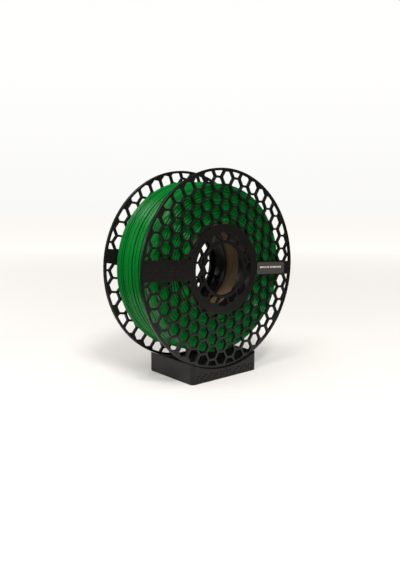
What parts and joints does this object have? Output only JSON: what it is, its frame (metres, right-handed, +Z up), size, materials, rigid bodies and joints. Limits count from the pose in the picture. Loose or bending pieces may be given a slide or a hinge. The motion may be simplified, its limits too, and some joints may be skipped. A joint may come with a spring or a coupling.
{
  "type": "filament spool on desk stand",
  "caption": "Flanged spool of green filament with honeycomb side plates and a cardboard core, resting in the curved trough of a black desk stand.",
  "frame": {"origin": "middle of the stand's underside, on the surface it stands on", "axes": "+Z up; the spool's axis runs along Y through Z = 110.8 mm; the front, with the label, faces -Y"},
  "size_m": [0.2, 0.0716, 0.2108],
  "materials": {
    "stand_plastic": "satin",
    "flange_plastic": "satin",
    "cardboard": "matte",
    "filament": "gloss",
    "label": "satin"
  },
  "bodies": {
    "stand": {"stand_body": "stand_plastic"},
    "wound_core": {"core_tube": "cardboard", "filament_winding": "filament"},
    "front_side": {"front_flange": "flange_plastic", "front_collar": "flange_plastic", "front_label": "label"},
    "rear_side": {"rear_flange": "flange_plastic", "rear_collar": "flange_plastic"}
  },
  "joints": [
    {"name": "spool_spin", "type": "hinge", "parent": "stand", "child": "wound_core", "pos_m": [0, 0, 0.1108], "axis": [0, 1, 0], "continuous": true},
    {"name": "front_flange_slide", "type": "slide", "parent": "wound_core", "child": "front_side", "axis": [0, -1, 0], "range_m": [0, 0.03]},
    {"name": "rear_flange_slide", "type": "slide", "parent": "wound_core", "child": "rear_side", "axis": [0, 1, 0], "range_m": [0, 0.03]}
  ]
}
